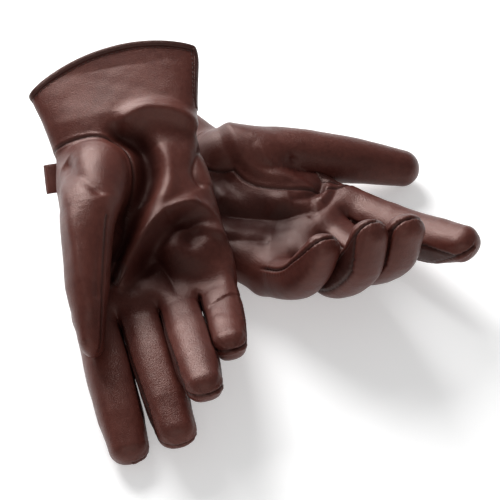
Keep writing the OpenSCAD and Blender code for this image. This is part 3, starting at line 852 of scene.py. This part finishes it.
def hand_piece(side, chains):
    low = [-26, -60, -24]
    thumb_part = chains["thumb"].p[chains["thumb"].s <= ROOT_CUT["thumb"] + 10]
    high = [178, max(62, thumb_part[:, 1].max() + 22), max(30, thumb_part[:, 2].max() + 24)]
    for name in NAMES[1:]:
        part = chains[name].p[chains[name].s <= ROOT_CUT[name] + 8]
        high = np.maximum(high, part.max(0) + 16)
        low = np.minimum(low, part.min(0) - 16)
    v, f = build_part(chains, "hand", low, high)

    def scalar(p, key):
        if key == "rim":
            return beyond_cuff(p) - 0.4
        if key == "slit":
            return slit_scalar(p)
        if key == "heel":
            return heel_scalar(side, chains["thumb"], p)
        m = chains[key].measure(p)
        near = m[0] < 3
        return np.where(near, m[1] - ROOT_CUT[key], -3.0)

    v, f = refine(v, f, scalar, ["rim", "slit", "heel", *NAMES])
    height, seam, deep = sculpt(side, chains, v, NAMES)
    oval = heel_scalar(side, chains["thumb"], v)
    height += groove(oval, 0.7, 0.9, 0.35)
    seam = np.maximum(seam, np.exp(-(oval / 0.9) ** 2))
    normals = vertex_normals(v, f)
    v = v + normals * height[:, None]
    if side == "left":
        v[:, 2] = np.maximum(v[:, 2], -REST_DEPTH + 0.02)
    normals = vertex_normals(v, f)
    c = v[f].mean(1)
    keep = (beyond_cuff(c) > 0.4) & (slit_scalar(c) < 0)
    hand_d = hand_field(c)
    at_centre = {name: chains[name].measure(c) for name in NAMES}
    nearest = np.minimum.reduce([at_centre[name][0] for name in FINGERS])
    for name in NAMES:
        m = at_centre[name]
        beyond = (m[1] > ROOT_CUT[name]) & (m[0] < hand_d + (1.5 if name == "thumb" else 0.5)) & (m[0] < 6)
        keep &= ~(beyond & ((m[0] <= nearest) | (name == "thumb")))
    heel = heel_scalar(side, chains["thumb"], c) > 0
    for label, faces, node in (("hand", keep & ~heel, "hand_leather"),
                               ("thumb_heel", keep & heel, "thumb_heel")):
        # the deep attribute carries the painted shade to the leather material
        o = make_object(f"{side}_{label}_skin", side, v, f[faces], normals, {"seam": seam, "deep": deep},
                        LEATHER, f"{side}_hand")
        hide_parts(f"{side}_{node}")


def grid_faces(rows, columns, closed=False):
    f = []
    for i in range(rows - 1):
        for j in range(columns if closed else columns - 1):
            a, b = i * columns + j, i * columns + (j + 1) % columns
            c, d = a + columns, b + columns
            f += [(a, d, b), (a, c, d)]
    return np.array(f)


def plate_faces(rows, columns):
    """Faces of a closed plate: a grid of points, the same grid for its other side, and the rim."""
    f = grid_faces(rows, columns)
    count = rows * columns
    loop = ([j for j in range(columns)] + [i * columns + columns - 1 for i in range(1, rows)]
            + [(rows - 1) * columns + j for j in range(columns - 2, -1, -1)]
            + [i * columns for i in range(rows - 2, 0, -1)])
    walls = []
    for a, b in zip(loop, loop[1:] + loop[:1]):
        walls += [(a, b, b + count), (a, b + count, a + count)]
    return np.vstack([f, f[:, ::-1] + count, walls])


def plain_object(name, side, v, f, material, body):
    """A piece without seams of its own."""
    return make_object(name, side, v, f, None, {"seam": np.zeros(len(v))}, material, body)


def lining_piece(side):
    xs = np.concatenate([np.linspace(0, 40, 26), np.linspace(44, 140, 30)])
    rows = []
    for x in xs:
        gap = np.interp(x, [0, VENT, VENT + 8], [10, 7, 0.6])
        angles = np.linspace(-180 + gap, 180 - gap, 121)
        edge = cuff_edge_at(angles) + 2.2
        at = edge + (140 - edge) * x / 140
        inset = np.interp(x, [0, 14, 36, 80], [1.6, 2.0, 11.4, 13.0])
        rows.append(np.array([hand_surface(at[j], angles[j], min(inset, 12.8 if x > 60 else 11.2))
                              for j in range(len(angles))]))
    v = np.array(rows).reshape(-1, 3)
    v = v + 0.25 * np.stack([0 * v[:, 0], waves(v, 14, 6, 31), waves(v, 14, 6, 32)], -1)
    f = grid_faces(len(xs), 121)
    o = plain_object(f"{side}_lining_fabric", side, v, f, LINING, f"{side}_hand")
    thick = o.modifiers.new("thickness", "SOLIDIFY")
    thick.thickness = 0.0006
    thick.offset = 0
    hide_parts(f"{side}_hand_lining")


def frames_along(points, outward):
    """Tangents, outward directions and side directions along a path."""
    tangent = unit(np.gradient(points, axis=0))
    out = unit(outward - (outward * tangent).sum(1, keepdims=True) * tangent)
    return tangent, out, np.cross(tangent, out)


def binding_path():
    """Cuff edge, from the end of the slit round the mouth and back; outward is away from the leather."""
    slit = np.linspace(VENT - 1.0, float(cuff_edge_at(180)) + 3.0, 30)
    points, outward = [], []
    for sign, xs in ((-1, slit), (1, slit[::-1])):
        rows, outs = [], []
        for x in xs:
            half = np.interp(x, SLIT_X, SLIT_ANGLE)
            a = sign * (180 - half)
            p = hand_surface(x, a, 0.2)
            rows.append(p)
            outs.append(p - hand_surface(x, a - sign * 12, 0.2))
        points.append(np.array(rows))
        outward.append(np.array(outs))
    angles = np.linspace(-170.5, 170.5, 150)
    rim = np.array([hand_surface(cuff_edge_at(a) + 0.6, a, 0.2) for a in angles])
    inside = np.array([hand_surface(cuff_edge_at(a) + 6.6, a, 0.2) for a in angles])
    rim_out = unit(rim - inside)
    points = np.vstack([points[0], rim, points[1]])
    outward = np.vstack([unit(outward[0]), rim_out, unit(outward[1])])
    for _ in range(4):
        points[1:-1] = (points[:-2] + 2 * points[1:-1] + points[2:]) / 4
        outward[1:-1] = (outward[:-2] + 2 * outward[1:-1] + outward[2:]) / 4
    return points, unit(outward)


def binding_piece(side):
    p, outward = binding_path()
    t, out, across = frames_along(p, outward)
    half, front, depth = 1.25, 1.0, 2.6
    outline = []
    for a in np.radians(np.linspace(-90, 90, 9)):
        outline.append((half * math.sin(a), front * math.cos(a)))
    outline += [(half * 1.02, -depth * 0.5), (half * 0.85, -depth), (0.45, -depth - 0.15),
                (-0.45, -depth - 0.15), (-half * 0.85, -depth), (-half * 1.02, -depth * 0.5)]
    outline = np.array(outline)
    swell = 1 + 0.06 * waves(p, 7, 5, 41)
    v = (p[:, None] + across[:, None] * (outline[None, :, :1] * swell[:, None, None])
         + out[:, None] * outline[None, :, 1:]).reshape(-1, 3)
    n = len(outline)
    f = grid_faces(len(p), n, True)
    ends = [(0, j, j + 1) for j in range(1, n - 1)]
    last = (len(p) - 1) * n
    caps = [tuple(reversed(c)) for c in ends] + [tuple(last + k for k in c) for c in ends]
    f = np.vstack([f[:, ::-1], caps])
    o = plain_object(f"{side}_cuff_binding_skin", side, v, f, EDGE, f"{side}_hand")
    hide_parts(f"{side}_cuff_binding")
    inner = p - out * (depth + 1.1)
    stitches(f"{side}_cuff_stitches", side, hug(inner, 0.25), f"{side}_hand")


def hug(points, lift):
    """Moves points onto the outside of the hand."""
    for _ in range(4):
        d = hand_field(points)
        e = 0.05
        g = np.stack([hand_field(points + np.eye(3)[k] * e) - d for k in range(3)], -1) / e
        points = points - unit(g) * (d - lift)[:, None]
    return points


def stitches(name, side, path, body, length=2.1, gap=0.9, radius=0.22):
    """Small rounded stitches set along a path on the leather."""
    step = np.linalg.norm(np.diff(path, axis=0), axis=1)
    s = np.concatenate([[0], np.cumsum(step)])
    verts, faces = [], []
    count = int(s[-1] / (length + gap))
    for k in range(count):
        a = k * (length + gap)
        q = np.stack([np.interp(a + length * np.linspace(0, 1, 5), s, path[:, c]) for c in range(3)], -1)
        t = unit(np.gradient(q, axis=0))
        d = hand_field(q)
        up = unit(np.stack([hand_field(q + np.eye(3)[c] * 0.05) - d for c in range(3)], -1))
        side_dir = np.cross(t, up)
        size = radius * np.array([0.35, 0.9, 1.0, 0.9, 0.35])
        drop = np.array([-0.22, -0.04, 0, -0.04, -0.22])
        base = len(verts)
        ring = []
        for i in range(5):
            for a2 in np.arange(6) * math.pi / 3:
                ring.append(q[i] + up[i] * (drop[i] + size[i] * math.sin(a2))
                            + side_dir[i] * size[i] * 1.3 * math.cos(a2))
        verts += ring
        f = grid_faces(5, 6, True)
        faces.append(f + base)
        faces.append(np.array([(0, j, j + 1) for j in range(1, 5)]) + base)
        faces.append(np.array([(24, 24 + j + 1, 24 + j) for j in range(1, 5)]) + base)
    v, f = np.array(verts), np.vstack(faces)
    o = plain_object(name, side, v, f, THREAD, body)
    return o


STRAP_X, STRAP_WIDTH, STRAP_THICK, STRAP_TAB = 56.0, 18.0, 2.0, 9.0


def strap_piece(side):
    lift = 0.5
    angles = np.linspace(205, 330, 60)
    across = np.concatenate([[-1, -0.96, -0.85], np.linspace(-0.7, 0.7, 9), [0.85, 0.96, 1]])
    thick_at = 0.5 + 0.5 * np.sqrt(np.clip(1 - np.abs(across) ** 6, 0, 1))
    grids = []
    for top in (1, 0):
        rows = []
        for u, k in zip(across, thick_at):
            x = STRAP_X + u * STRAP_WIDTH / 2
            centre = lift + STRAP_THICK / 2
            depth = centre + (top - 0.5) * STRAP_THICK * k
            line = hand_surface(x, angles, -depth)
            last = line[-1]
            reach = np.linspace(0, 1, 25)[1:, None]
            tab = (last + reach * np.array([0, STRAP_TAB + 2, 1.8])
                   + np.array([0, 0, 1.0]) * np.sin(reach * math.pi) * 0.5)
            rows.append(np.vstack([line, tab]))
        grids.append(np.array(rows))
    rows, columns = grids[0].shape[:2]
    v = np.vstack([g.reshape(-1, 3) for g in grids])
    v[:, 2] = np.maximum(v[:, 2], -REST_DEPTH + 0.05)
    f = plate_faces(rows, columns)
    o = plain_object(f"{side}_wrist_strap_skin", side, v, f, LEATHER, f"{side}_hand")
    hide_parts(f"{side}_wrist_strap")


QUIRK_ANGLE = {"left": 34.0, "right": 70.0}


def quirk_piece(side, chains):
    """Diamond gusset in the fork of the thumb, laid on the leather and gathered along its edges."""
    rows, columns = 29, 17
    u, w = np.meshgrid(np.linspace(-1, 1, rows), np.linspace(-1, 1, columns), indexing="ij")
    span = 1.02 - np.abs(u) ** 1.3
    points = hand_surface(128 + 9 * u.ravel(), QUIRK_ANGLE[side] + (9 * w * span).ravel(), -1.0)

    def field(p):
        return glove_field(chains, p, "hand")

    for _ in range(8):
        d = field(points)
        g = np.stack([field(points + np.eye(3)[k] * 0.1) - d for k in range(3)], -1) / 0.1
        normal = unit(g)
        points = points - normal * np.clip(d, -4, 4)[:, None]
    height = folds(side, points)
    edge = np.minimum(1, (1 - np.abs(w.ravel())) * 3 + 0.05)
    gathers = 0.25 * np.sin(u.ravel() * 22) * (1 - edge)
    top = points + normal * (height + 0.15 + 0.55 * edge + gathers)[:, None]
    bottom = points + normal * (height - 0.9)[:, None]
    v = np.vstack([top, bottom])
    f = plate_faces(rows, columns)
    c = v[f[0]]
    if np.cross(c[1] - c[0], c[2] - c[0]) @ normal[0] < 0:
        f = f[:, ::-1]
    o = plain_object(f"{side}_thumb_quirk_skin", side, v, f, EDGE, f"{side}_hand")
    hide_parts(f"{side}_thumb_quirk")


for side in ("left", "right"):
    chains = {name: Chain(side, name) for name in NAMES}
    hand_piece(side, chains)
    for name in NAMES:
        finger_piece(side, chains, name)
    lining_piece(side)
    binding_piece(side)
    strap_piece(side)
    quirk_piece(side, chains)

# ---------------------------------------------------------------- floor and light
floor_nodes = Nodes("floor")
floor_noise = floor_nodes.add("ShaderNodeTexNoise", in_2=3.0)
floor_colour = floor_nodes.mix(floor_noise.outputs[0], (0.86, 0.86, 0.86, 1), (0.9, 0.9, 0.9, 1))
floor_nodes.link(floor_colour, "Base Color")
floor_nodes.shader.inputs["Roughness"].default_value = 0.9
floor_nodes.shader.inputs["Emission Color"].default_value = (1, 1, 1, 1)
floor_nodes.shader.inputs["Emission Strength"].default_value = 0.35
floor_mesh = bpy.data.meshes.new("floor")
floor_mesh.from_pydata([(-4, -4, 0), (4, -4, 0), (4, 4, 0), (-4, 4, 0)], [], [(0, 1, 2, 3)])
floor_mesh.materials.append(floor_nodes.material)
floor = bpy.data.objects.new("floor", floor_mesh)
bpy.context.scene.collection.objects.link(floor)


def area_light(name, place, target, size, power, colour=(1, 1, 1)):
    data = bpy.data.lights.new(name, "AREA")
    data.shape = "RECTANGLE"
    data.size, data.size_y = size
    data.energy = power
    data.color = colour
    o = bpy.data.objects.new(name, data)
    o.location = place
    o.rotation_euler = (Vector(place) - Vector(target)).to_track_quat("Z", "Y").to_euler()
    bpy.context.scene.collection.objects.link(o)


world = bpy.data.worlds.new("studio")
world.use_nodes = True
world.node_tree.nodes["Background"].inputs[0].default_value = (1, 1, 1, 1)
world.node_tree.nodes["Background"].inputs[1].default_value = 0.26
bpy.context.scene.world = world
bpy.context.scene.view_settings.view_transform = "Standard"
area_light("key", (-1.05, 0.5, 0.85), (0, 0, 0), (0.9, 0.9), 34)
area_light("fill", (0.8, -0.9, 0.9), (0, 0, 0), (1.0, 1.0), 4.5)
